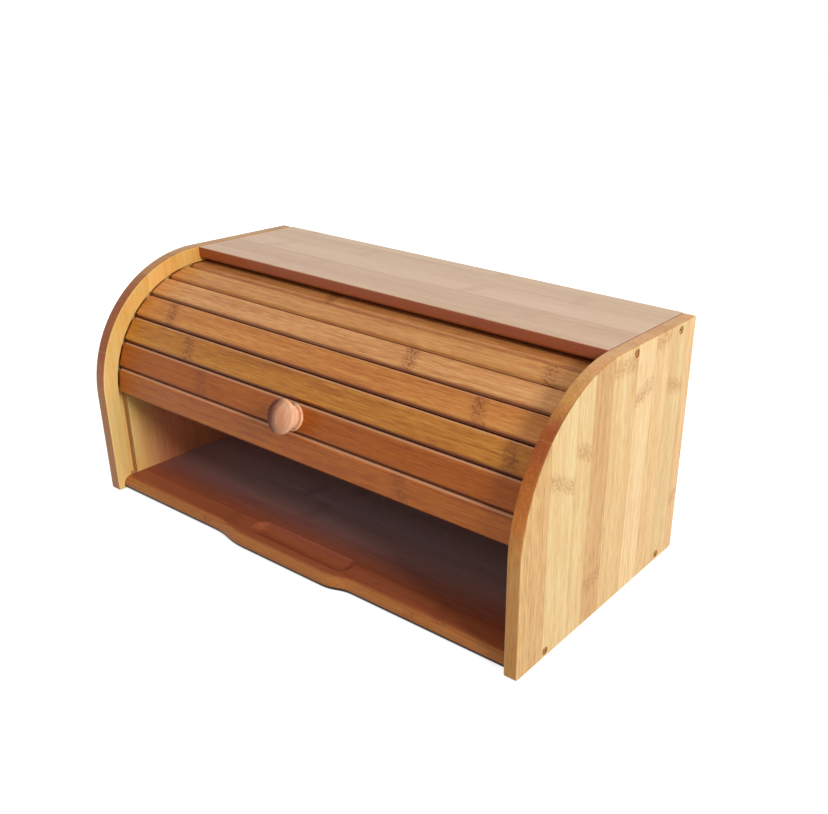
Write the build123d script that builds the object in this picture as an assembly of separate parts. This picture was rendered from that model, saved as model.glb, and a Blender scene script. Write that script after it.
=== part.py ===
"""Bread box with a roll top: five boards, a roll top of slats on cloth, a knob and screws.

Millimetres. X runs along the width, the front faces -Y, Z is up. The origin is on the underside,
at mid width and mid depth of the boards.
"""
import math
import os

from build123d import *

os.makedirs("parts", exist_ok=True)

# Overall sizes
WIDTH = 400.0
DEPTH = 200.0
HEIGHT = 180.0
TOP_DEPTH = 100.0

# Boards, and the back panel's tongue in their grooves. TOP_LOW_R rounds the top panel over the roll top.
BOARD = 10.0
EDGE_R = 1.2
CORNER_R = 1.5
TOP_END_R = 0.8
TOP_LOW_R = 3.0
BACK_T = 4.0
BACK_LIP = 3.5
BACK_TONGUE = 3.5
BACK_CLEAR = 0.5

# Bottom board's front: a rounded nose with a bump, and a finger groove behind it. Each flank of the
# bump has its middle at a distance from mid width, and a run along the width. FINGER_X is the groove's
# middle.
NOSE_SETBACK = 5.0
NOSE_LOW_R = 3.4
NOSE_FLAT = 0.3
BUMP_DEPTH = 5.0
BUMP_LEFT = 63.0
BUMP_LEFT_RUN = 36.0
BUMP_RIGHT = 48.0
BUMP_RIGHT_RUN = 24.0
FINGER_X = -2.5
FINGER_L = 98.0
FINGER_W = 17.0
FINGER_D = 3.6
FINGER_FROM_FRONT = 19.5

# Roll top
SLAT_COUNT = 11
SLAT_T = 4.5
SLAT_INSET = 12.5
SLAT_GAP = 0.6
SLAT_CHAMFER = 2.0
SLAT_END_GAP = 0.8
TONGUE_L = 9.0
TONGUE_T = 2.6
TONGUE_CLEAR = 0.5
GROOVE_DEPTH = 5.5
GROOVE_IN = 1.0
GROOVE_OUT = 0.5
TAIL = 22.2
FOOT_GAP = 1.5
STOP_GAP = 1.8
CLOTH_T = 0.4
CLOTH_END = 8.0

# Knob: a foot, a bead, a neck, and a head with a round rim and a shallow dome
KNOB_SLAT = 2
KNOB_BASE_R = 9.0
KNOB_FOOT_H = 2.4
KNOB_FOOT_BULGE = 0.6
KNOB_STEP = 1.0
KNOB_STEP_H = 0.3
KNOB_BEAD_H = 4.0
KNOB_BEAD_BULGE = 0.7
KNOB_NECK_H = 1.4
KNOB_NECK_HOLLOW = 0.6
KNOB_R = 12.0
KNOB_UNDER_H = 2.5
KNOB_RIM_H = 3.2
KNOB_RIM_IN = 1.8
KNOB_DOME_H = 4.2

# Screws: the knob's from behind its slat, and those in the side panels
KNOB_SCREW_R = 1.6
KNOB_SCREW_HEAD_R = 3.2
KNOB_SCREW_HEAD_H = 1.8
KNOB_SCREW_IN = 9.0
KNOB_SCREW_TIP = 2.0
KNOB_SCREW_CROSS = 3.0
CLOTH_HOLE_CLEAR = 1.0
SCREW_R = 1.6
SCREW_HEAD_R = 3.0
SCREW_HEAD_H = 2.0
SCREW_L = 32.0
SCREW_TIP = 4.0
SCREW_SINK = 0.8
SCREW_CROSS = 3.2
HEAD_RIM = 0.3
CROSS_W = 0.8
CROSS_D = 1.0
TOP_SCREW_FRONT_FROM_BACK = 82.0
TOP_SCREW_REAR_FROM_BACK = 22.0
BOTTOM_SCREW_FROM_FRONT = 30.0
BOTTOM_SCREW_FROM_BACK = 25.0

# Sizes that follow from these
INNER = WIDTH - 2 * BOARD
FRONT = -DEPTH / 2
BACK = DEPTH / 2
ROUND_R = DEPTH - TOP_DEPTH
YC = BACK - TOP_DEPTH
ZC = HEIGHT - ROUND_R
BACK_Y = BACK - BACK_LIP - BACK_T
NOSE_TOP_R = BOARD - NOSE_LOW_R - NOSE_FLAT
NOSE_Y = FRONT + NOSE_SETBACK
BUMP_Y = NOSE_Y - BUMP_DEPTH
TRACK_R = ROUND_R - SLAT_INSET - SLAT_T
STRAIGHT = ZC - BOARD - FOOT_GAP
ARC = TRACK_R * math.pi / 2
PITCH = (STRAIGHT + ARC + TAIL) / SLAT_COUNT
SLAT_W = PITCH - SLAT_GAP
TRAVEL = BACK_Y - YC - TAIL - STOP_GAP
LEAD = TRAVEL - STRAIGHT
NEAR = 0.01


def track_point(u):
    """(y, z) at length u along the slats' inner faces: straight up, quarter circle, straight back.

    Length 0 is the foot of the quarter circle.
    """
    if u <= 0:
        return YC - TRACK_R, ZC + u
    if u <= ARC:
        a = u / TRACK_R
        return YC - TRACK_R * math.cos(a), ZC + TRACK_R * math.sin(a)
    return YC + u - ARC, ZC + TRACK_R


def slat_pose(u):
    """(y, z, lean) of a slat with its middle at length u: its two edges lie on the track."""
    y0, z0 = track_point(u - SLAT_W / 2)
    y1, z1 = track_point(u + SLAT_W / 2)
    return (y0 + y1) / 2, (z0 + z1) / 2, math.atan2(y1 - y0, z1 - z0)


def placed(shape, u):
    """A shape made upright, outer face to the front, set on the track at length u."""
    y, z, lean = slat_pose(u)
    return Pos(0, y, z) * Rot(-math.degrees(lean), 0, 0) * shape


def box(x0, x1, y0, y1, z0, z1):
    """A block between two corners."""
    block = Box(x1 - x0, y1 - y0, z1 - z0)
    return Pos((x0 + x1) / 2, (y0 + y1) / 2, (z0 + z1) / 2) * block


def quarter(r):
    """The quarter circle of radius r from the front edge to the top edge, in the side view."""
    half = r * math.sqrt(0.5)
    return ThreePointArc((YC - r, ZC), (YC - half, ZC + half), (YC, ZC + r))


def side_face(*edges):
    """A face in the side view, with Y to the right and Z up."""
    return Plane.YZ * make_face(Curve() + list(edges))


def screw_space(r, head_r, head_h, length, tip):
    """The space that a countersunk screw fills: it points along -Z, with its head's face at Z 0."""
    outline = Polyline(
        (0, 0),
        (head_r, 0),
        (head_r, -HEAD_RIM),
        (r, -head_h),
        (r, tip - length),
        (0, -length),
        close=True,
    )
    return revolve(Plane.XZ * make_face(outline), Axis.Z)


def with_cross(screw, cross):
    """A screw with a cross recess in its head's face."""
    screw -= Box(cross, CROSS_W, 2 * CROSS_D)
    return screw - Box(CROSS_W, cross, 2 * CROSS_D)


def bump_flank(x, run):
    """Two equal arcs that meet at width x and lead from the nose's line out to the bump's front.

    A positive run leads to the right.
    """
    bend_r = (run**2 + BUMP_DEPTH**2) / (4 * BUMP_DEPTH)
    bend_a = math.asin(run / 2 / bend_r)
    part_x = bend_r * math.sin(bend_a / 2)
    part_y = bend_r * (1 - math.cos(bend_a / 2))
    x_low = x - run / 2
    x_high = x + run / 2
    mid = (x, NOSE_Y - BUMP_DEPTH / 2)
    outer = ThreePointArc((x_low, NOSE_Y), (x_low + part_x, NOSE_Y - part_y), mid)
    inner = ThreePointArc(mid, (x_high - part_x, BUMP_Y + part_y), (x_high, BUMP_Y))
    return [outer, inner]


def back_space(room):
    """The back panel with its tongue lengthened by some room all round."""
    reach = BACK_TONGUE + room
    x = INNER / 2 + reach
    return box(-x, x, BACK_Y, BACK_Y + BACK_T, BOARD - reach, HEIGHT - BOARD + reach)


# Screws of the right side panel: their heads face +X, sunk below its face
top_z = HEIGHT - BOARD / 2
low_z = BOARD / 2
screw_places = [
    (BACK - TOP_SCREW_FRONT_FROM_BACK, top_z),
    (BACK - TOP_SCREW_REAR_FROM_BACK, top_z),
    (FRONT + BOTTOM_SCREW_FROM_FRONT, low_z),
    (BACK - BOTTOM_SCREW_FROM_BACK, low_z),
]
heads_right = Rot(0, 90, 0)
screw_body = screw_space(SCREW_R, SCREW_HEAD_R, SCREW_HEAD_H, SCREW_L, SCREW_TIP)
sink = Pos(0, 0, SCREW_SINK) * Cylinder(SCREW_HEAD_R, 2 * SCREW_SINK)
hole = heads_right * (screw_body + sink)
screw = heads_right * with_cross(screw_body, SCREW_CROSS)
screw_x = WIDTH / 2 - SCREW_SINK
right_holes = [Pos(screw_x, y, z) * hole for y, z in screw_places]
right_screws = [Pos(screw_x, y, z) * screw for y, z in screw_places]
left_holes = [mirror(h, about=Plane.YZ) for h in right_holes]
left_screws = [mirror(s, about=Plane.YZ) for s in right_screws]

# Side panels: a square back and a quarter-round front, with the roll top's groove inside
outline = side_face(
    Line((FRONT, 0), (FRONT, ZC)),
    quarter(ROUND_R),
    Line((YC, HEIGHT), (BACK, HEIGHT)),
    Line((BACK, HEIGHT), (BACK, 0)),
    Line((BACK, 0), (FRONT, 0)),
)
square_corners = [v for v in outline.vertices() if v.Z < NEAR or v.Y > BACK - NEAR]
outline = fillet(square_corners, CORNER_R)
right_side = Pos(INNER / 2, 0, 0) * extrude(outline, BOARD, dir=(1, 0, 0))
across = right_side.faces().sort_by(Axis.X)
right_side = fillet(across[-1].edges() + across[0].edges(), EDGE_R)

r_in = TRACK_R - GROOVE_IN
r_out = TRACK_R + SLAT_T + GROOVE_OUT
groove = side_face(
    Line((YC - r_out, BOARD), (YC - r_out, ZC)),
    quarter(r_out),
    Line((YC, ZC + r_out), (BACK_Y, ZC + r_out)),
    Line((BACK_Y, ZC + r_out), (BACK_Y, ZC + r_in)),
    Line((BACK_Y, ZC + r_in), (YC, ZC + r_in)),
    quarter(r_in),
    Line((YC - r_in, ZC), (YC - r_in, BOARD)),
    Line((YC - r_in, BOARD), (YC - r_out, BOARD)),
)
right_side -= Pos(INNER / 2, 0, 0) * extrude(groove, GROOVE_DEPTH, dir=(1, 0, 0))
right_side -= back_space(BACK_CLEAR)
for space in right_holes:
    right_side -= space
left_side = mirror(right_side, about=Plane.YZ)

# Top panel
top_panel = box(-INNER / 2, INNER / 2, YC, BACK, HEIGHT - BOARD, HEIGHT)
for side, radius in ((-1, EDGE_R), (0, TOP_LOW_R)):
    front_edges = top_panel.faces().sort_by(Axis.Y)[0].edges().filter_by(Axis.X)
    top_panel = fillet(front_edges.sort_by(Axis.Z)[side], radius)
ends = top_panel.faces().sort_by(Axis.X)
top_panel = fillet(ends[0].edges() + ends[-1].edges(), TOP_END_R)
top_panel -= back_space(BACK_CLEAR)

# Bottom board
left_flank = bump_flank(-BUMP_LEFT, BUMP_LEFT_RUN)
right_flank = bump_flank(BUMP_RIGHT, -BUMP_RIGHT_RUN)
bottom_edges = [
    Line((-INNER / 2, NOSE_Y), left_flank[0] @ 0),
    *left_flank,
    Line(left_flank[1] @ 1, right_flank[1] @ 1),
    *right_flank,
    Line(right_flank[0] @ 0, (INNER / 2, NOSE_Y)),
    Line((INNER / 2, NOSE_Y), (INNER / 2, BACK)),
    Line((INNER / 2, BACK), (-INNER / 2, BACK)),
    Line((-INNER / 2, BACK), (-INNER / 2, NOSE_Y)),
]
bottom_board = extrude(make_face(Curve() + bottom_edges), BOARD, dir=(0, 0, 1))
for level, radius in ((BOARD, NOSE_TOP_R), (0, NOSE_LOW_R)):
    front_edges = []
    for edge in bottom_board.edges():
        mid = edge.center()
        if abs(mid.Z - level) < NEAR and mid.Y < NOSE_Y + NEAR:
            front_edges.append(edge)
    bottom_board = fillet(front_edges, radius)
finger_r = (FINGER_W**2 / 4 + FINGER_D**2) / (2 * FINGER_D)
finger_z = BOARD - FINGER_D + finger_r
finger_half = FINGER_L / 2 - FINGER_W / 2
finger_y = FRONT + FINGER_FROM_FRONT
bottom_board -= Pos(FINGER_X, finger_y, finger_z) * Rot(0, 90, 0) * Cylinder(finger_r, 2 * finger_half)
for x in (FINGER_X - finger_half, FINGER_X + finger_half):
    bottom_board -= Pos(x, finger_y, finger_z) * Sphere(finger_r)
bottom_board -= back_space(BACK_CLEAR)

for space in right_holes + left_holes:
    top_panel -= space
    bottom_board -= space

# Slat and its length of cloth, upright at the origin with the slat's inner face on Y 0
half_w = SLAT_W / 2
slat_outline = Plane.YZ * make_face(
    Polyline(
        (0, -half_w),
        (0, half_w),
        (SLAT_CHAMFER - SLAT_T, half_w),
        (-SLAT_T, half_w - SLAT_CHAMFER),
        (-SLAT_T, SLAT_CHAMFER - half_w),
        (SLAT_CHAMFER - SLAT_T, -half_w),
        close=True,
    )
)
tongue = Plane.YZ * Pos(-SLAT_T / 2, 0) * SlotOverall(TONGUE_L, TONGUE_T, rotation=90)
tongue_reach = GROOVE_DEPTH - TONGUE_CLEAR
slat = extrude(slat_outline, INNER / 2 - SLAT_END_GAP, both=True)
slat += extrude(tongue, INNER / 2 + tongue_reach, both=True)
cloth = box(CLOTH_END - INNER / 2, INNER / 2 - CLOTH_END, 0, CLOTH_T, -half_w, half_w)

# Knob, turned about Z and then laid to the front on the slat's outer face
step_r = KNOB_BASE_R - KNOB_STEP
bead_z = KNOB_FOOT_H + KNOB_STEP_H
neck_z = bead_z + KNOB_BEAD_H
head_z = neck_z + KNOB_NECK_H
rim_z = head_z + KNOB_UNDER_H
dome_z = rim_z + KNOB_RIM_H
knob_h = dome_z + KNOB_DOME_H
dome_x = KNOB_R - KNOB_RIM_IN
dome_r = (dome_x**2 + KNOB_DOME_H**2) / (2 * KNOB_DOME_H)
dome_a = math.asin(dome_x / dome_r) / 2
dome_mid = (dome_r * math.sin(dome_a), knob_h - dome_r * (1 - math.cos(dome_a)))
foot_mid = (KNOB_BASE_R + KNOB_FOOT_BULGE, KNOB_FOOT_H / 2)
bead_mid = (step_r + KNOB_BEAD_BULGE, bead_z + KNOB_BEAD_H / 2)
neck_mid = (step_r - KNOB_NECK_HOLLOW, neck_z + KNOB_NECK_H / 2)
under_mid = (step_r + 2 / 3 * (KNOB_R - step_r), head_z + KNOB_UNDER_H / 3)
rim_mid = (KNOB_R - KNOB_RIM_IN / 4, rim_z + 0.55 * KNOB_RIM_H)
knob_outline = Curve() + [
    Line((0, 0), (KNOB_BASE_R, 0)),
    ThreePointArc((KNOB_BASE_R, 0), foot_mid, (KNOB_BASE_R, KNOB_FOOT_H)),
    Line((KNOB_BASE_R, KNOB_FOOT_H), (step_r, bead_z)),
    ThreePointArc((step_r, bead_z), bead_mid, (step_r, neck_z)),
    ThreePointArc((step_r, neck_z), neck_mid, (step_r, head_z)),
    ThreePointArc((step_r, head_z), under_mid, (KNOB_R, rim_z)),
    ThreePointArc((KNOB_R, rim_z), rim_mid, (dome_x, dome_z)),
    ThreePointArc((dome_x, dome_z), dome_mid, (0, knob_h)),
    Line((0, knob_h), (0, 0)),
]
to_front = Rot(90, 0, 0)
head_inside = Rot(-90, 0, 0)
knob_screw_l = SLAT_T + KNOB_SCREW_IN
knob_screw_body = screw_space(
    KNOB_SCREW_R, KNOB_SCREW_HEAD_R, KNOB_SCREW_HEAD_H, knob_screw_l, KNOB_SCREW_TIP
)
knob_hole = head_inside * knob_screw_body
knob_screw = head_inside * with_cross(knob_screw_body, KNOB_SCREW_CROSS)
knob = revolve(Plane.XZ * make_face(knob_outline), Axis.Z)
knob = Pos(0, -SLAT_T, 0) * to_front * knob - knob_hole
cloth_hole = to_front * Cylinder(KNOB_SCREW_HEAD_R + CLOTH_HOLE_CLEAR, 4 * CLOTH_T)

export_step(right_side, "parts/right_side_panel.step")
export_step(left_side, "parts/left_side_panel.step")
export_step(top_panel, "parts/top_panel.step")
export_step(bottom_board, "parts/bottom_board.step")
export_step(back_space(0), "parts/back_panel.step")
export_step(Compound(children=right_screws), "parts/right_screws.step")
export_step(Compound(children=left_screws), "parts/left_screws.step")

# The slats along the track, and how each goes from open to shut: one turn about X, or one slide
print(f"pitch {PITCH:.4f} travel {TRAVEL:.4f} lead {LEAD:.4f}")
for number in range(1, SLAT_COUNT + 1):
    u = LEAD + (number - 0.5) * PITCH
    this_slat = slat
    this_cloth = cloth
    if number == KNOB_SLAT:
        this_slat = slat - knob_hole
        this_cloth = cloth - cloth_hole
        export_step(placed(knob, u), "parts/knob.step")
        export_step(placed(knob_screw, u), "parts/knob_screw.step")
    export_step(placed(this_slat, u), f"parts/slat_{number:02d}.step")
    export_step(placed(this_cloth, u), f"parts/cloth_{number:02d}.step")

    y0, z0, lean0 = slat_pose(u)
    y1, z1, lean1 = slat_pose(u - TRAVEL)
    turn = lean0 - lean1
    if abs(turn) < 1e-6:
        print(f"slat {number} slides y {y1 - y0:.5f} z {z1 - z0:.5f}")
        continue
    half_cot = 0.5 / math.tan(turn / 2)
    pole_y = (y0 + y1) / 2 - (z1 - z0) * half_cot
    pole_z = (z0 + z1) / 2 + (y1 - y0) * half_cot
    print(f"slat {number} turns {math.degrees(turn):.6f} about y {pole_y:.5f} z {pole_z:.5f}")
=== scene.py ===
"""Looks of the bread box with a roll top: bamboo boards and slats, cloth backing, knob and screws.

Metres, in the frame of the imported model: X along the width, the front faces -Y, Z is up.
"""
import math

import bpy
import numpy as np
from mathutils import Matrix, Vector


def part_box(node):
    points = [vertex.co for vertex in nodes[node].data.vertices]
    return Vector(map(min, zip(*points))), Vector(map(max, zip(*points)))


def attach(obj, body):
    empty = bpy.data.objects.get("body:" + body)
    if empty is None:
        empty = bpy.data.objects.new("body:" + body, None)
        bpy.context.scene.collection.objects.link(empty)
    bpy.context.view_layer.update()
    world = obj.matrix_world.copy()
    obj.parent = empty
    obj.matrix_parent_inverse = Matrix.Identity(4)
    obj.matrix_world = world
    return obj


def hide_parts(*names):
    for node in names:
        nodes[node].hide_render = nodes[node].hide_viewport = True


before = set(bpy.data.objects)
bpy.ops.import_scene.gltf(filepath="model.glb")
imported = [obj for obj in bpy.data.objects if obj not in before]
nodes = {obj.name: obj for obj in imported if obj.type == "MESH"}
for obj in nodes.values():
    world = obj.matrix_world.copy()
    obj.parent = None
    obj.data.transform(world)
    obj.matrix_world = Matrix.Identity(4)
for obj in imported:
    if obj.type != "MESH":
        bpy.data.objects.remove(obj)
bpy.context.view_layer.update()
X, Y, Z = 0, 1, 2

# Strips of a bamboo board, and how much they differ
STRIP = 0.023
STRIP_SPREAD = 0.55
STRIP_TINT = 0.45
STRIP_SHIFT = 40.0
JOINT_LINE = 0.0004
JOINT_SHARE = 0.4

# Knuckles: a browner cloud, whole within KNUCKLE_CORE and gone past KNUCKLE_HALF, with leaning dashes
BOARD_PITCH = 0.2
KNUCKLE_SHIFT = 17.3
KNUCKLE_HALF = 0.008
KNUCKLE_CORE = 0.002
KNUCKLE_RAGGED = 0.009
CLOUD_SHARE = 0.25
DASH_SHARE = 0.6
DASH_LEAN = 0.5
DASH_EDGE = (0.5, 0.58)
SLAT_SLANT = 0.35

# Grains: bumps to a metre along and across, where the noise starts, and its detail
BEND_GRAIN = (6.0, 12.0, 5.1, 1.0)
RAGGED_GRAIN = (60.0, 380.0, 3.7, 1.0)
DASH_GRAIN = (240.0, 700.0, 1.9, 1.0)
KNOB_GRAIN = (50.0, 420.0, 0.0, 2.0)
MOTTLE_GRAIN = (700.0, 700.0, 2.0, 3.0)
# Fibres, from broad bands to fine ones: bumps to a metre along and across, detail, and strength
FIBRES = ((3.0, 70.0, 1.0, 0.5), (16.0, 460.0, 2.0, 0.7), (90.0, 1300.0, 2.0, 0.9))
BEND = 0.0016
FIBRE_BUMP = 0.00006
VARNISH_ROUGH = (0.32, 0.52)

# Where a board's finish changes: a pair is where the change starts and where it is whole. FACES and
# OFF pairs are parts of the surface's normal, REACH pairs are distances as track_reach gives them,
# Y and Z pairs are places, and the pairs for the darker corner line are the turn that a rim reads.
# GROOVE_RIM is how much of the rim's colour, with its painted light and shade, the groove takes.
ROUND_Z = 0.08
BACK_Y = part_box("back_panel")[1][Y]
BACK_END = (BACK_Y, BACK_Y - 0.001)
FACES_IN = (-0.2, -0.6)
FACES_UP = (0.3, 0.7)
FACES_DOWN = (-0.35, -0.65)
FACES_FRONT = (-0.05, -0.3)
FACES_ALONG_Y = (0.1, 0.5)
FACES_LOW = (0.06, -0.02)
OFF_FACE = (0.85, 0.45)
CROWN_Z = (0.09, 0.15)
INSIDE_REACH = (0.09, 0.048)
INSIDE_Y = (-0.08, -0.02)
LONG_EDGE_Y = (0.086, 0.09)
NOSE_Y = (-0.086, -0.09)
GROOVE_START_REACH = (0.076, 0.079)
GROOVE_END_REACH = (0.093, 0.089)
GROOVE_REAR_Y = (0.09, 0.08)
GROOVE_RIM = 0.5
CORNER_LINE_START = (0.5, 0.6)
CORNER_LINE_END = (0.9, 0.8)

# Slats; their bevels' painted highlight and painted shade start and are whole at these places across the
# slat
SLATS = [name for name in sorted(nodes) if name.startswith("slat_")]
SLAT_HALF = 0.00975
UPPER_BEVEL = (SLAT_HALF - 0.0014, SLAT_HALF - 0.0008)
LOWER_BEVEL = (0.0016 - SLAT_HALF, 0.0006 - SLAT_HALF)
HIGHLIGHT_SHARE = 0.42
SLAT_CONTRAST = 1.15
SLAT_GLOSS = 0.3
SLAT_SHIFT = 0.37

# Knob. The darker tint of its front, partly end grain and partly painted shade, and the painted shade
# left of its front start and are whole at these turns of the normal along the knob's axis, and the pair
# along
# X is where that painted shade starts across it.
KNOB_SLAT = 2
STREAK_SWING = 0.9
KNOB_RINGS = 1800.0
RING_DETAIL = 1.0
RING_SWING = 0.25
FRONT_TURN = (0.3, 0.9)
FRONT_SHARE = 0.55
SHADE_SIDE_TURN = (-0.3, 0.2)
SHADE_SIDE_X = (0.004, -0.005)
SHADE_SIDE_RAGGED = 0.003
SHADE_SIDE_SHARE = 0.95
KNOB_ROUGH = (0.34, 0.5)
KNOB_GLOSS = 0.08

# Screws
SCREW_ROUGH = (0.3, 0.55)
SCREW_BUMP = 0.00003

# Cloth: the strips' reach past the CAD ones, and the weave
CLOTH_REACH = 0.0002
CLOTH_THICK = 0.0003
CLOTH_HOLE_R = 0.0042
CLOTH_LINES = 5
CLOTH_LINES_ALONG = 53
CLOTH_SPOKES = 72
THREAD = 0.0016
SLUBS_ALONG = 90.0
SLUBS_ACROSS = 900.0
SLUB_DETAIL = 2.0
SLUB_SHARE = 0.6
WEAVE_SHARE = 0.5
WEAVE_BUMP = 0.0002
CLOTH_ROUGH = 0.95
CLOTH_SHEEN = 0.3

# Studio
IMAGE_WIDTH = 828
IMAGE_HEIGHT = 814
SENSOR = 36.0
CAMERA_PLACE = Vector((0.4554, -0.4820, 0.3711))
CAMERA_AZIMUTH = 34.36
CAMERA_ELEVATION = 25.16
CAMERA_ROLL = -2.08
CAMERA_NEAR = 0.01
FOCAL_PIXELS = 962.6
AXIS_PIXEL = (516.9, 446.6)
KEY_AZIMUTH = 75.0
KEY_ELEVATION = 26.0
KEY_DISTANCE = 2.4
KEY_AIM = Vector((0.0, 0.0, 0.08))
KEY_SIZE = 0.6
KEY_POWER = 32.0
SKY_TOWARDS = Vector((0.1, 0.2, 0.97)).normalized()
SKY_DIM = 0.05
SKY_BRIGHT = 0.72
FLOOR_DROP = 0.0003
FLOOR_HALF = 4.0
FLOOR_GREY = (0.55, 0.55, 0.55, 1.0)
WHITE = (1.0, 1.0, 1.0, 1.0)
FLOOR_NEAR = 0.25
FLOOR_FAR = 0.9
FLOOR_GLOW = 0.8


def colour(red, green, blue):
    """A display colour of 0 to 255 as the shader's linear colour."""
    parts = []
    for part in (red, green, blue):
        share = part / 255
        parts.append(share / 12.92 if share <= 0.04045 else ((share + 0.055) / 1.055) ** 2.4)
    return (*parts, 1.0)


def tone_ramp(*shades):
    """Display colours from dark fibres to pale ones, spread evenly over 0.1 to 0.9 of a ramp."""
    places = np.linspace(0.1, 0.9, len(shades)).tolist()
    return tuple((place, colour(*shade)) for place, shade in zip(places, shades))


# Tones of bamboo. The side panels have their own on the lip in front of the roll top, paler as painted
# light, and on its crown and inside the box, darker as painted shade. The bottom board's are darker and
# redder than the side panels', as painted shade; it has its own inside the box, a greyer hue as painted
# shade, and on its nose and rear edge, paler as painted light.
SIDE_TONES = tone_ramp((198, 145, 86), (228, 182, 120), (241, 209, 156))
LIP_PAINTED_LIGHT_TONES = tone_ramp((240, 186, 106), (255, 203, 122), (255, 218, 146))
CROWN_PAINTED_SHADE_TONES = tone_ramp((230, 168, 88), (245, 185, 102), (248, 200, 124))
INSIDE_PAINTED_SHADE_TONES = tone_ramp((216, 122, 82), (232, 142, 98), (242, 160, 116))
BACK_TONES = tone_ramp((172, 118, 66), (204, 152, 94), (222, 182, 128))
TOP_TONES = tone_ramp((190, 147, 114), (217, 178, 144), (231, 199, 168))
FLOOR_PAINTED_SHADE_TONES = tone_ramp((140, 66, 40), (167, 86, 54), (185, 105, 72))
NOSE_PAINTED_LIGHT_TONES = tone_ramp((153, 84, 40), (179, 106, 54), (198, 128, 72))
INSIDE_FLOOR_SHADE_HUE_TONES = tone_ramp((160, 124, 124), (182, 146, 148), (198, 164, 166))
# Painted shadow where the top panel's rounded front edge turns under, above the roll top
UNDER_LIP_PAINTED_SHADOW = tone_ramp((40, 20, 16), (64, 34, 24))
# Painted shade on the lower half of the bottom board's nose
NOSE_PAINTED_SHADE = tone_ramp((34, 16, 8), (54, 28, 16))
SLAT_TONES = tone_ramp((176, 107, 52), (217, 148, 83), (240, 184, 118))
SIDE_KNUCKLE = colour(184, 126, 66)
TOP_KNUCKLE = colour(200, 158, 126)
FLOOR_KNUCKLE = colour(150, 78, 46)
SLAT_KNUCKLE = colour(128, 62, 24)
STRIP_HUE = colour(243, 247, 238)
CORNER_LINE_COLOUR = colour(104, 62, 28)
BEVEL_PAINTED_HIGHLIGHT = colour(246, 196, 156)
BEVEL_PAINTED_SHADE = colour(92, 32, 16)

# What a board's edge does to its colour, from 0 where it faces down or to the front, to 1 where it
# faces up or to the back: partly a darker tint of the edge, and partly painted light and shade by the
# way the edge faces, paler where it faces up and darker where it faces forward or down or meets the
# next board. The left panel's copy is mostly darker, as painted shade.
SIDE_RIM_TINT_AND_LIGHT = (
    (0.5, colour(230, 197, 152)),
    (0.62, colour(230, 169, 96)),
    (0.86, colour(187, 110, 47)),
    (0.93, colour(238, 203, 158)),
    (1.0, colour(248, 224, 214)),
)
LEFT_RIM_TINT_AND_LIGHT = (
    (0.5, colour(201, 161, 124)),
    (0.65, colour(187, 119, 70)),
    (0.88, colour(189, 129, 84)),
    (1.0, colour(224, 203, 184)),
)
TOP_RIM_TINT_AND_LIGHT = (
    (0.3, colour(186, 112, 60)),
    (0.48, colour(112, 78, 46)),
    (0.52, colour(112, 78, 46)),
    (0.7, colour(238, 208, 172)),
)

# Colours that multiply a slat's own: each slat's tint, with darker casts on the lowest slats as painted
# shade
CASTS = {
    "red": colour(209, 163, 88),
    "brown": colour(200, 153, 84),
    "olive": colour(226, 209, 145),
    "gold": colour(236, 216, 180),
    "rose": colour(248, 247, 250),
    "straw": colour(241, 236, 214),
    "dusk": colour(231, 218, 212),
}
# Each slat, from the lowest up: its cast, how dark the painted shade on its lower bevel is, where along
# X it has a knuckle, and how far it is from there to the next
SLAT_LOOKS = (
    ("red", 0.85, 0.098, 0.289),
    ("brown", 0.85, -0.0955, 0.289),
    ("olive", 0.85, 0.17, 0.289),
    ("gold", 0.85, 0.136, 0.289),
    ("rose", 0.75, 0.068, 0.289),
    ("straw", 0.4, 0.163, 0.36),
    ("dusk", 0.3, -0.04, 0.31),
    ("olive", 0.5, 0.12, 0.27),
    ("gold", 0.5, -0.15, 0.3),
    ("rose", 0.5, 0.02, 0.33),
    ("gold", 0.5, -0.08, 0.28),
)

# Colours of the knob, the screws and the cloth
KNOB_TONES = ((0.15, colour(220, 150, 108)), (0.5, colour(246, 190, 148)), (0.85, colour(255, 222, 186)))
KNOB_FRONT = colour(176, 104, 76)
KNOB_PAINTED_SHADE = colour(96, 24, 14)
BRASS = ((0.35, colour(150, 116, 66)), (0.65, colour(216, 180, 114)))
STEEL = ((0.35, colour(120, 120, 122)), (0.65, colour(176, 176, 178)))
CLOTH_TONES = ((0.2, colour(30, 14, 12)), (0.6, colour(60, 30, 24)), (0.95, colour(96, 58, 48)))


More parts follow.
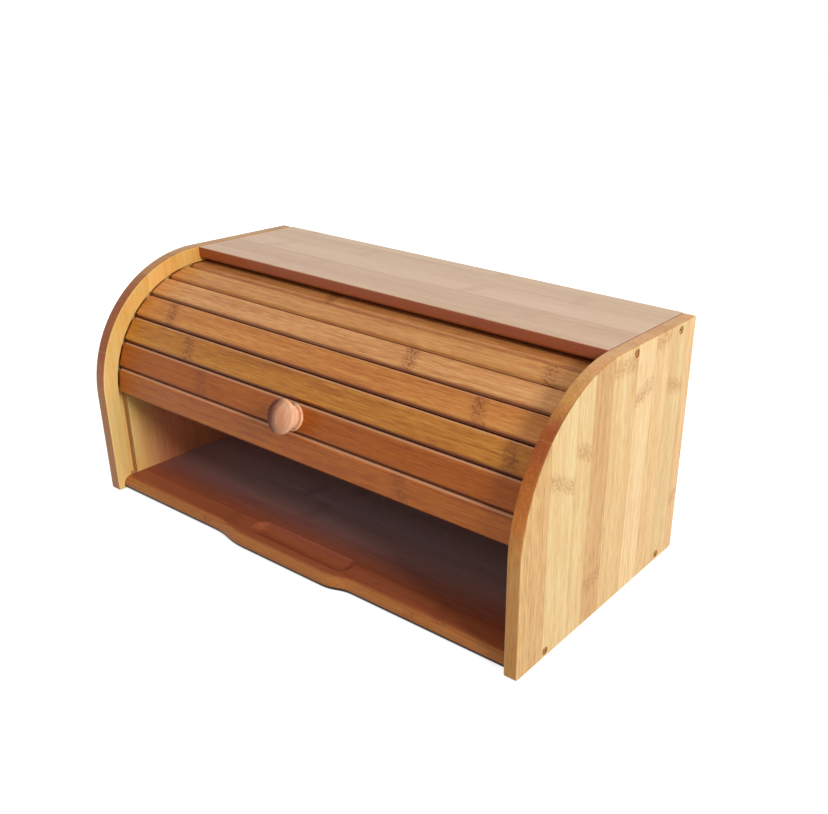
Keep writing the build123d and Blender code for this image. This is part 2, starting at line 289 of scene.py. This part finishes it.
class Shading:
    """The nodes of a material or a world, with a short call for each kind of node.

    A call that works something out gives the node's output.
    """

    def __init__(self, owner, shader):
        owner.use_nodes = True
        self.tree = owner.node_tree
        self.shader = self.tree.nodes[shader]
        self.place = self.add("ShaderNodeTexCoord")

    def add(self, kind, **settings):
        """A new node of that kind."""
        node = self.tree.nodes.new(kind)
        for key, value in settings.items():
            setattr(node, key, value)
        return node

    def feed(self, socket, value):
        """Links an output to a socket, or sets a plain value on it."""
        if isinstance(value, bpy.types.NodeSocket):
            self.tree.links.new(value, socket)
        else:
            socket.default_value = value

    def set(self, **values):
        """Sets or links the shader's own sockets, named with _ for a blank."""
        for name, value in values.items():
            self.feed(self.shader.inputs[name.replace("_", " ")], value)

    def split(self, vector):
        node = self.add("ShaderNodeSeparateXYZ")
        self.feed(node.inputs[0], vector)
        return list(node.outputs)

    def calc(self, operation, *values):
        node = self.add("ShaderNodeMath", operation=operation)
        for socket, value in zip(node.inputs, values):
            self.feed(socket, value)
        return node.outputs[0]

    def times(self, *values):
        """The product of two or more values."""
        total = values[0]
        for value in values[1:]:
            total = self.calc("MULTIPLY", total, value)
        return total

    def rest(self, value):
        """What a value lacks to 1."""
        return self.calc("SUBTRACT", 1.0, value)

    def swing(self, value, amount, middle=0.0):
        """A value of 0 to 1 turned into middle plus or minus half of amount."""
        return self.calc("MULTIPLY_ADD", self.calc("SUBTRACT", value, 0.5), amount, middle)

    def fade(self, value, start, end):
        """A smooth step from 0 at start to 1 at end."""
        node = self.add("ShaderNodeMapRange", interpolation_type="SMOOTHSTEP")
        for socket, part in zip(node.inputs, (value, start, end)):
            self.feed(socket, part)
        return node.outputs[0]

    def span(self, value, low, high, start=0.0, end=1.0):
        """A value of start to end stretched over low to high."""
        node = self.add("ShaderNodeMapRange")
        for socket, part in zip(node.inputs, (value, start, end, low, high)):
            self.feed(socket, part)
        return node.outputs[0]

    def join(self, operation, *vectors):
        """A number worked out from one vector or two."""
        node = self.add("ShaderNodeVectorMath", operation=operation)
        for socket, vector in zip(node.inputs, vectors):
            self.feed(socket, vector)
        return node.outputs["Value"]

    def point(self, x, y, z):
        node = self.add("ShaderNodeCombineXYZ")
        for socket, part in zip(node.inputs, (x, y, z)):
            self.feed(socket, part)
        return node.outputs[0]

    def noise(self, vector, detail):
        node = self.add("ShaderNodeTexNoise")
        self.feed(node.inputs["Vector"], vector)
        node.inputs["Scale"].default_value = 1.0
        node.inputs["Detail"].default_value = detail
        return node.outputs[0]

    def mix(self, factor, a, b, blend="MIX"):
        node = self.add("ShaderNodeMix", data_type="RGBA", blend_type=blend)
        for index, value in ((0, factor), (6, a), (7, b)):
            self.feed(node.inputs[index], value)
        return node.outputs[2]

    def ramp(self, value, *stops):
        """Colours at places from 0 to 1."""
        node = self.add("ShaderNodeValToRGB")
        self.feed(node.inputs[0], value)
        elements = node.color_ramp.elements
        while len(elements) < len(stops):
            elements.new(0.5)
        for element, (place, shade) in zip(elements, stops):
            element.position = place
            element.color = shade
        return node.outputs[0]

    def bump(self, height, depth):
        node = self.add("ShaderNodeBump")
        node.inputs["Distance"].default_value = depth
        self.feed(node.inputs["Height"], height)
        self.set(Normal=node.outputs[0])


class Finish(Shading):
    """A new material for the box.

    Axes and normal are the parts of the place on the surface and of its normal, and a finish may put
    its own axes in their stead.
    """

    def __init__(self, name):
        self.material = bpy.data.materials.new(name)
        super().__init__(self.material, "Principled BSDF")
        self.axes = self.split(self.place.outputs["Object"])
        self.normal = self.split(self.place.outputs["Normal"])

    def grain(self, along, per_along, per_across, start, detail):
        """Noise drawn out along one axis: per_along and per_across are its bumps to a metre."""
        parts = []
        for axis, value in enumerate(self.axes):
            rate = per_along if axis == along else per_across
            parts.append(self.calc("MULTIPLY", value, rate))
        parts[along] = self.calc("ADD", parts[along], start)
        return self.noise(self.point(*parts), detail)

    def bend(self, along):
        """Lets what is drawn out along one axis wander to the sides, by up to half of BEND."""
        drift = self.swing(self.grain(along, *BEND_GRAIN), BEND)
        for axis in {X, Y, Z} - {along}:
            self.axes[axis] = self.calc("ADD", self.axes[axis], drift)

    def in_side_view(self, sides, towards):
        """The part of a vector, given by its axes, along a direction in the Y and Z plane."""
        part_y = self.times(sides[Y], float(towards[0]))
        return self.calc("MULTIPLY_ADD", sides[Z], float(towards[1]), part_y)


# Bamboo
def fibres(f, along, start, contrast):
    """Bamboo's tone about 0.5: the sum of FIBRES, all drawn out along the grain; and its fine fibres."""
    tone = 0.5
    for per_along, per_across, detail, strength in FIBRES:
        lines = f.grain(along, per_along, per_across, start, detail)
        tone = f.swing(lines, strength * contrast, tone)
    return tone, lines


def knuckles(f, along, pitch, start, slant, shade, dark):
    """Paints bamboo's knuckles: at a steady pitch, a browner cloud full of short leaning dashes.

    Slant is a distance along the grain by which the knuckle runs ahead at each place.
    """
    straight = list(f.axes)
    turns = f.calc("MULTIPLY_ADD", f.calc("ADD", straight[along], slant), 1 / pitch, start)
    away = f.times(f.calc("ABSOLUTE", f.calc("SUBTRACT", f.calc("FRACT", turns), 0.5)), pitch)
    ragged = f.swing(f.grain(along, *RAGGED_GRAIN), KNUCKLE_RAGGED, away)
    cloud = f.fade(ragged, KNUCKLE_HALF, KNUCKLE_CORE)
    for axis in {X, Y, Z} - {along}:
        f.axes[axis] = f.calc("MULTIPLY_ADD", straight[along], DASH_LEAN, straight[axis])
    dashes = f.fade(f.grain(along, *DASH_GRAIN), *DASH_EDGE)
    f.axes = straight
    shade = f.mix(f.times(cloud, CLOUD_SHARE), shade, dark)
    return f.mix(f.times(cloud, dashes, DASH_SHARE), shade, dark)


def varnish(f, shade, fine, grooves, gloss):
    """Satin varnish over the colour, with the fibres in its roughness and its height."""
    f.set(Base_Color=shade, Roughness=f.span(fine, *VARNISH_ROUGH))
    f.set(Specular_IOR_Level=gloss)
    f.bump(f.calc("SUBTRACT", fine, grooves), FIBRE_BUMP)


# Places on the boards
def track_reach(f):
    """How far out a place is, measured as the roll top's track is.

    The track is a quarter circle about ROUND_Z at mid depth, and upright below it, so the reach is
    the length of the part to the front and the part above ROUND_Z.
    """
    front = f.calc("MINIMUM", f.axes[Y], 0.0)
    above = f.calc("MAXIMUM", f.calc("SUBTRACT", f.axes[Z], ROUND_Z), 0.0)
    return f.join("LENGTH", f.point(0.0, front, above))


def before_back(f):
    """1 in front of the back panel's rear face, 0 behind it."""
    return f.fade(f.axes[Y], *BACK_END)


def inward_face(f):
    """1 on a side panel's face that looks towards the box's middle plane, else 0."""
    return f.fade(f.times(f.normal[X], f.calc("SIGN", f.axes[X])), *FACES_IN)


def lip_crown(f):
    """On that face, a rise from 0 at the foot of the round to 1 in its upper half; else 0."""
    return f.times(inward_face(f), f.fade(f.axes[Z], *CROWN_Z))


def inside_wall(f):
    """On that face, a rise from 0 at the roll top's track to 1 well inside it; else 0."""
    return f.times(inward_face(f), f.fade(track_reach(f), *INSIDE_REACH), before_back(f))


def inside_floor(f):
    """On the bottom board's upper face, a rise from 0 at the finger groove to 1 inside; else 0."""
    return f.times(f.fade(f.normal[Z], *FACES_UP), f.fade(f.axes[Y], *INSIDE_Y), before_back(f))


def under_lip(f):
    """1 where the top panel's rounded front edge turns down and under, which is painted dark as shadow,
    else 0.
    """
    return f.times(f.fade(f.normal[Z], *FACES_DOWN), f.fade(f.normal[Y], *FACES_FRONT))


def long_edges(f):
    """1 on the bottom board's rounded front and on its rear edge, else 0."""
    facing = f.calc("ABSOLUTE", f.normal[Y])
    place = f.calc("ABSOLUTE", f.axes[Y])
    return f.times(f.fade(facing, *FACES_ALONG_Y), f.fade(place, *LONG_EDGE_Y))


def under_nose(f):
    """1 on the lower half of the bottom board's rounded front, which is painted dark as shade, else 0.
    """
    return f.times(f.fade(f.normal[Z], *FACES_LOW), f.fade(f.axes[Y], *NOSE_Y))


def side_edge(f):
    """1 on a side panel's outer edge, GROOVE_RIM in the groove for the roll top, 0 on its faces."""
    reach = track_reach(f)
    band = f.times(f.fade(reach, *GROOVE_START_REACH), f.fade(reach, *GROOVE_END_REACH))
    groove = f.times(band, f.fade(f.axes[Y], *GROOVE_REAR_Y))
    off_face = f.fade(f.calc("ABSOLUTE", f.normal[X]), *OFF_FACE)
    return f.times(off_face, f.span(groove, 1.0, GROOVE_RIM))


def flat_edge(f):
    """1 on the edge of a board that lies flat, 0 on its two faces."""
    return f.fade(f.calc("ABSOLUTE", f.normal[Z]), *OFF_FACE)


# Finishes
def board_bamboo(name, along, across, tones, knuckle, contrast, start, gloss, rim=None, other=()):
    """Bamboo board: strips glued side by side, each with its own tint and its own knuckles.

    A strip is a cell of a one dimensional Voronoi pattern across the board, whose random colour
    gives the tint, the knuckle's place and the strength of its hue. A rim is a function that gives
    where the board's edge is, the axis whose outward turn is read there, colours that multiply the
    board's own from 0 to 1 of it, partly the edge's tint and partly painted light and shade, and how
    strong a darker line lies along its rounded corners. The strips' tints stop at the rim. Other holds
    pairs of a function that gives where the board takes other tones, and those tones; its knuckles and
    glue lines take the first of them there.
    """
    f = Finish(name)
    f.bend(along)
    w = f.calc("MULTIPLY_ADD", f.axes[across], 1 / STRIP, start)
    strips = f.add("ShaderNodeTexVoronoi", voronoi_dimensions="1D")
    edges = f.add("ShaderNodeTexVoronoi", voronoi_dimensions="1D", feature="DISTANCE_TO_EDGE")
    for node in (strips, edges):
        f.feed(node.inputs["W"], w)
        node.inputs["Scale"].default_value = 1.0
        node.inputs["Randomness"].default_value = STRIP_SPREAD
    chance = f.add("ShaderNodeSeparateColor")
    f.feed(chance.inputs[0], strips.outputs["Color"])
    tint, phase, hue = chance.outputs
    joint = f.fade(edges.outputs["Distance"], JOINT_LINE / STRIP, 0.0)

    tone, fine = fibres(f, along, f.times(tint, STRIP_SHIFT), contrast)
    tint_swing = STRIP_TINT * contrast
    if rim is not None:
        find_edge, outward, rim_tint_and_light, corner_line = rim
        edge = find_edge(f)
        tint_swing = f.times(f.rest(edge), tint_swing)
    tone = f.swing(tint, tint_swing, tone)
    shade = f.ramp(tone, *tones)
    for where, other_tones in other:
        there = where(f)
        shade = f.mix(there, shade, f.ramp(tone, *other_tones))
        knuckle = f.mix(there, knuckle, other_tones[0][1])
    shade = f.mix(f.times(hue, contrast), shade, STRIP_HUE, "MULTIPLY")
    slant = f.times(f.calc("SUBTRACT", w, strips.outputs["W"]), f.swing(hue, STRIP))
    shade = knuckles(f, along, BOARD_PITCH, f.times(phase, KNUCKLE_SHIFT), slant, shade, knuckle)
    if rim is not None:
        turn = f.calc("MULTIPLY_ADD", f.normal[outward], 0.5, 0.5)
        # The edge's colours: partly its own tint, partly painted light and shade by how it faces
        shade = f.mix(edge, shade, f.ramp(turn, *rim_tint_and_light), "MULTIPLY")
    # A darker line along the rim's rounded corners, on its slanting part
    if rim is not None and corner_line > 0:
        rounded = f.times(edge, f.rest(edge), 4 * corner_line)
        aslant = f.times(f.fade(turn, *CORNER_LINE_START), f.fade(turn, *CORNER_LINE_END))
        shade = f.mix(f.times(rounded, aslant), shade, CORNER_LINE_COLOUR)
    shade = f.mix(f.times(joint, JOINT_SHARE), shade, knuckle)
    varnish(f, shade, fine, joint, gloss)
    return f.material


def slat_bamboo(name, lie, cast, bevel_shade, start, place, pitch):
    """Bamboo slat: one strip, turned to the slat's own lie, with a painted highlight on its upper bevel
    and painted shade on its lower one.

    Bevel_shade is how dark the painted shade on the lower bevel is. One of the slat's knuckles is at
    place, and the next a pitch on.
    """
    middle, across, out = lie
    f = Finish(name)
    t = f.calc("SUBTRACT", f.in_side_view(f.axes, across), float(middle @ across))
    f.axes = [f.axes[X], f.in_side_view(f.axes, out), t]
    upper = f.fade(t, *UPPER_BEVEL)
    lower = f.fade(t, *LOWER_BEVEL)
    f.bend(X)
    tone, fine = fibres(f, X, start, SLAT_CONTRAST)
    shade = f.ramp(tone, *SLAT_TONES)
    shade = f.mix(1.0, shade, cast, "MULTIPLY")
    slant = f.times(f.axes[Z], SLAT_SLANT)
    shade = knuckles(f, X, pitch, 0.5 - place / pitch, slant, shade, SLAT_KNUCKLE)
    # Painted highlight on the upper bevel, painted shade on the lower one
    shade = f.mix(f.times(upper, HIGHLIGHT_SHARE), shade, BEVEL_PAINTED_HIGHLIGHT)
    shade = f.mix(f.times(lower, bevel_shade), shade, BEVEL_PAINTED_SHADE)
    varnish(f, shade, fine, 0.0, SLAT_GLOSS)
    return f.material


def knob_wood(lie):
    """Turned pale wood: streaks across the knob, turning rings, a darker front that is partly end grain
    and partly painted shade, and painted shade left of its front.
    """
    _, across, out = lie
    f = Finish("knob_wood")
    f.axes = [f.axes[X], f.in_side_view(f.axes, out), f.in_side_view(f.axes, across)]
    streak = f.grain(Z, *KNOB_GRAIN)
    rings = f.noise(f.point(f.times(f.axes[Y], KNOB_RINGS), 0.0, 0.0), RING_DETAIL)
    tone = f.swing(rings, RING_SWING, f.swing(streak, STREAK_SWING, 0.5))
    shade = f.ramp(tone, *KNOB_TONES)
    outward = f.in_side_view(f.normal, out)
    shade_side = f.fade(f.swing(streak, SHADE_SIDE_RAGGED, f.axes[X]), *SHADE_SIDE_X)
    # A darker front, partly end grain and partly painted shade; then painted shade left of the front
    shade = f.mix(f.times(f.fade(outward, *FRONT_TURN), FRONT_SHARE), shade, KNOB_FRONT)
    shade = f.mix(f.times(f.fade(outward, *SHADE_SIDE_TURN), shade_side, SHADE_SIDE_SHARE), shade, KNOB_PAINTED_SHADE)
    f.set(Base_Color=shade, Roughness=f.span(streak, *KNOB_ROUGH))
    f.set(Specular_IOR_Level=KNOB_GLOSS)
    f.bump(f.calc("ADD", streak, rings), FIBRE_BUMP)
    return f.material


def screw_metal(name, tones, metal):
    """Plated screw: mottled tarnish over the metal's own colour."""
    f = Finish(name)
    mottle = f.grain(X, *MOTTLE_GRAIN)
    f.set(Base_Color=f.ramp(mottle, *tones))
    f.set(Metallic=metal, Roughness=f.span(mottle, *SCREW_ROUGH))
    f.bump(mottle, SCREW_BUMP)
    return f.material


def canvas():
    """Plain weave on the cloth's own UV, which is in metres.

    The weave is the product of two sine waves, a thread's pitch long, along and across the cloth.
    Slubs are noise drawn out along it.
    """
    f = Finish("canvas")
    u, v, _ = f.split(f.place.outputs["UV"])
    threads = 2 * math.pi / THREAD
    warp = f.calc("SINE", f.times(u, threads))
    weft = f.calc("SINE", f.times(v, threads))
    weave = f.calc("MULTIPLY_ADD", f.times(warp, weft), 0.5, 0.5)
    slub = f.noise(f.point(f.times(u, SLUBS_ALONG), f.times(v, SLUBS_ACROSS), 0.0), SLUB_DETAIL)
    tone = f.calc("MULTIPLY_ADD", weave, WEAVE_SHARE, f.times(slub, SLUB_SHARE))
    f.set(Base_Color=f.ramp(tone, *CLOTH_TONES), Roughness=CLOTH_ROUGH, Sheen_Weight=CLOTH_SHEEN)
    f.bump(weave, WEAVE_BUMP)
    return f.material


def paint(material, *names):
    """Gives a finish to CAD nodes."""
    for name in names:
        node = nodes[name]
        node.data.materials.clear()
        node.data.materials.append(material)


# Cloth behind the slats
def corners_of(name):
    """A CAD node's mesh corners, as rows of X, Y and Z."""
    mesh = nodes[name].data
    places = np.empty(3 * len(mesh.vertices))
    mesh.vertices.foreach_get("co", places)
    return places.reshape(-1, 3)


def lie_of(name):
    """How a flat strip lies in the side view: its middle, and unit vectors across and out of it.

    Across is the direction in which its corners spread the most, up and back along the track.
    """
    side = corners_of(name)[:, Y:]
    mean = side.mean(axis=0)
    across = np.linalg.svd(side - mean)[2][0]
    across = across * np.sign(across.sum())
    out = np.array((-across[1], across[0]))
    turned = (side - mean) @ np.array((across, out)).T
    middle = mean + (turned.min(axis=0) + turned.max(axis=0)) / 2 @ np.array((across, out))
    return middle, across, out


def grid_faces(rows, columns, closed):
    """Four corners of each cell of a grid; closed joins the last column to the first."""
    cells = columns if closed else columns - 1
    row, column = np.meshgrid(np.arange(rows - 1) * columns, np.arange(cells), indexing="ij")
    beside = (column + 1) % columns
    above = row + columns
    corners = (row + column, row + beside, above + beside, above + column)
    return np.stack(corners, axis=-1).reshape(-1, 4)


def flat_strip(half_length, half_width):
    """Corners and faces of a rectangle: a grid with its lines spread evenly both ways."""
    lines_across = np.linspace(-half_width, half_width, CLOTH_LINES)
    lines_along = np.linspace(-half_length, half_length, CLOTH_LINES_ALONG)
    v, u = np.meshgrid(lines_across, lines_along, indexing="ij")
    faces = grid_faces(CLOTH_LINES, CLOTH_LINES_ALONG, False)
    return np.stack((u, v), axis=-1).reshape(-1, 2), faces


def holed_strip(half_length, half_width, radius):
    """Corners and faces of a rectangle with a round hole at its middle.

    Each spoke leads from the hole straight out to the rectangle's edge, at even angles and at the
    angles of its four corners.
    """
    corner = math.atan2(half_width, half_length)
    angles = [corner, math.pi - corner, math.pi + corner, 2 * math.pi - corner]
    even = np.linspace(0, 2 * math.pi, CLOTH_SPOKES, endpoint=False)
    angle = np.sort(np.concatenate((even, angles)))
    ray = np.stack((np.cos(angle), np.sin(angle)), axis=-1)
    with np.errstate(divide="ignore"):
        reach = np.minimum(half_length / np.abs(ray[:, 0]), half_width / np.abs(ray[:, 1]))
    length = radius + np.linspace(0, 1, CLOTH_LINES)[:, None] * (reach - radius)
    return (length[:, :, None] * ray).reshape(-1, 2), grid_faces(CLOTH_LINES, len(angle), True)


def cloth_length(number, material):
    """The cloth behind one slat: a flat strip over the CAD strip's place, that nearly meets the next.

    Its corners are the middle plus u along X plus v across the slat. UV is in metres along the whole
    roll top, so that the weave runs on from strip to strip.
    """
    name = f"cloth_{number:02d}"
    middle, across, _ = lie_of(name)
    places = corners_of(name)
    half_length = np.ptp(places[:, X]) / 2
    half_width = np.ptp(places[:, Y:] @ across) / 2 + CLOTH_REACH
    if number == KNOB_SLAT:
        flat, faces = holed_strip(half_length, half_width, CLOTH_HOLE_R)
    else:
        flat, faces = flat_strip(half_length, half_width)
    points = np.column_stack((flat[:, 0], middle + flat[:, 1:] * across))
    mesh = bpy.data.meshes.new(f"backing_cloth_{number:02d}")
    mesh.from_pydata(points.tolist(), [], faces.tolist())
    layer = mesh.uv_layers.new(name="weave")
    corner = np.empty(len(mesh.loops), dtype=np.int32)
    mesh.loops.foreach_get("vertex_index", corner)
    layer.uv.foreach_set("vector", (flat + (0, 2 * half_width * number))[corner].ravel())
    mesh.materials.append(material)
    piece = bpy.data.objects.new(mesh.name, mesh)
    bpy.context.scene.collection.objects.link(piece)
    wall = piece.modifiers.new("thickness", "SOLIDIFY")
    wall.thickness = CLOTH_THICK
    wall.offset = 0.0
    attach(piece, f"roll_slat_{number:02d}")
    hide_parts(name)


# Floor, light and camera
def direction(azimuth, elevation):
    """The unit vector towards a place at that azimuth, from the front to the right, and elevation."""
    a = math.radians(azimuth)
    e = math.radians(elevation)
    return Vector((math.sin(a) * math.cos(e), -math.cos(a) * math.cos(e), math.sin(e)))


def seen_or_mirrored(s):
    """1 for rays from the camera and for those that a gloss or glass sends on, else 0."""
    path = s.add("ShaderNodeLightPath")
    total = path.outputs["Is Camera Ray"]
    for name in ("Is Glossy Ray", "Is Transmission Ray"):
        total = s.calc("MAXIMUM", total, path.outputs[name])
    return total


def studio_world():
    """White to the camera and in reflections; to all other rays a soft sky, brightest overhead."""
    world = bpy.data.worlds.new("studio")
    bpy.context.scene.world = world
    s = Shading(world, "Background")
    turn = s.join("DOT_PRODUCT", s.place.outputs["Generated"], SKY_TOWARDS)
    sky = s.span(turn, SKY_DIM, SKY_BRIGHT, -1.0, 1.0)
    s.set(Color=WHITE, Strength=s.span(seen_or_mirrored(s), sky, 1.0))


def studio_floor():
    """A flat square under the box that stays near white and keeps a soft shadow."""
    half = FLOOR_HALF
    corners = [(-half, -half), (half, -half), (half, half), (-half, half)]
    mesh = bpy.data.meshes.new("studio_floor")
    mesh.from_pydata([(x, y, -FLOOR_DROP) for x, y in corners], [], [(0, 1, 2, 3)])
    floor = bpy.data.objects.new("studio_floor", mesh)
    bpy.context.scene.collection.objects.link(floor)
    material = bpy.data.materials.new("studio_floor")
    s = Shading(material, "Principled BSDF")
    away = s.join("LENGTH", s.place.outputs["Object"])
    level = s.span(away, FLOOR_GLOW, 1.0, FLOOR_NEAR, FLOOR_FAR)
    s.set(Base_Color=FLOOR_GREY, Roughness=1.0, Specular_IOR_Level=0.0)
    s.set(Emission_Color=WHITE, Emission_Strength=s.times(seen_or_mirrored(s), level))
    mesh.materials.append(material)


def key_light():
    """One large soft lamp at the right, a little to the front."""
    data = bpy.data.lights.new("key", "AREA")
    data.shape = "DISK"
    data.size = KEY_SIZE
    data.energy = KEY_POWER
    lamp = bpy.data.objects.new("key", data)
    bpy.context.scene.collection.objects.link(lamp)
    towards = direction(KEY_AZIMUTH, KEY_ELEVATION)
    lamp.location = towards * KEY_DISTANCE + KEY_AIM
    lamp.rotation_euler = towards.to_track_quat("Z", "Y").to_euler()


def photo_camera():
    """The camera fitted to the box's corners, with its optical axis at AXIS_PIXEL."""
    data = bpy.data.cameras.new("photo_camera")
    data.sensor_fit = "HORIZONTAL"
    data.sensor_width = SENSOR
    data.lens = FOCAL_PIXELS / IMAGE_WIDTH * SENSOR
    data.shift_x = (IMAGE_WIDTH / 2 - AXIS_PIXEL[0]) / IMAGE_WIDTH
    data.shift_y = (AXIS_PIXEL[1] - IMAGE_HEIGHT / 2) / IMAGE_WIDTH
    data.clip_start = CAMERA_NEAR
    back = direction(CAMERA_AZIMUTH, CAMERA_ELEVATION)
    right = Vector((0, 0, 1)).cross(back).normalized()
    up = back.cross(right)
    roll = math.radians(CAMERA_ROLL)
    rolled_right = right * math.cos(roll) - up * math.sin(roll)
    rolled_up = right * math.sin(roll) + up * math.cos(roll)
    camera = bpy.data.objects.new("photo_camera", data)
    bpy.context.scene.collection.objects.link(camera)
    turn = Matrix((rolled_right, rolled_up, back)).transposed()
    camera.matrix_world = Matrix.Translation(CAMERA_PLACE) @ turn.to_4x4()
    bpy.context.scene.camera = camera


# Boards
side = {
    "along": Z,
    "across": Y,
    "tones": SIDE_TONES,
    "knuckle": SIDE_KNUCKLE,
    "contrast": 1.15,
    "gloss": 0.35,
    "other": ((inward_face, LIP_PAINTED_LIGHT_TONES), (lip_crown, CROWN_PAINTED_SHADE_TONES), (inside_wall, INSIDE_PAINTED_SHADE_TONES)),
}
right_bamboo = board_bamboo("right_bamboo", start=5.0, rim=(side_edge, Z, SIDE_RIM_TINT_AND_LIGHT, 0.8), **side)
paint(right_bamboo, "right_side_panel")
left_bamboo = board_bamboo("left_bamboo", start=89.0, rim=(side_edge, Z, LEFT_RIM_TINT_AND_LIGHT, 0.5), **side)
paint(left_bamboo, "left_side_panel")
top_bamboo = board_bamboo(
    "top_bamboo",
    along=X,
    across=Y,
    tones=TOP_TONES,
    knuckle=TOP_KNUCKLE,
    contrast=0.65,
    start=11.0,
    gloss=0.45,
    rim=(flat_edge, Y, TOP_RIM_TINT_AND_LIGHT, 0.0),
    other=((under_lip, UNDER_LIP_PAINTED_SHADOW),),
)
paint(top_bamboo, "top_panel")
floor_bamboo = board_bamboo(
    "floor_bamboo",
    along=X,
    across=Y,
    tones=FLOOR_PAINTED_SHADE_TONES,
    knuckle=FLOOR_KNUCKLE,
    contrast=0.7,
    start=7.0,
    gloss=0.15,
    other=((inside_floor, INSIDE_FLOOR_SHADE_HUE_TONES), (long_edges, NOSE_PAINTED_LIGHT_TONES), (under_nose, NOSE_PAINTED_SHADE)),
)
paint(floor_bamboo, "bottom_board")
back_bamboo = board_bamboo(
    "back_bamboo",
    along=X,
    across=Z,
    tones=BACK_TONES,
    knuckle=SIDE_KNUCKLE,
    contrast=0.8,
    start=19.0,
    gloss=0.4,
)
paint(back_bamboo, "back_panel")

# Roll top, with its knob and its cloth
cloth = canvas()
for number, (slat, (cast, bevel_shade, place, pitch)) in enumerate(zip(SLATS, SLAT_LOOKS), 1):
    lie = lie_of(f"cloth_{number:02d}")
    look = (CASTS[cast], bevel_shade, SLAT_SHIFT * number, place, pitch)
    paint(slat_bamboo(f"slat_bamboo_{number:02d}", lie, *look), slat)
    if number == KNOB_SLAT:
        paint(knob_wood(lie), "knob")
    cloth_length(number, cloth)

# Screws
paint(screw_metal("brass", BRASS, 0.5), "left_screws", "right_screws")
paint(screw_metal("steel", STEEL, 1.0), "knob_screw")

# Studio
studio_world()
studio_floor()
key_light()
photo_camera()
bpy.context.scene.view_settings.view_transform = "Standard"
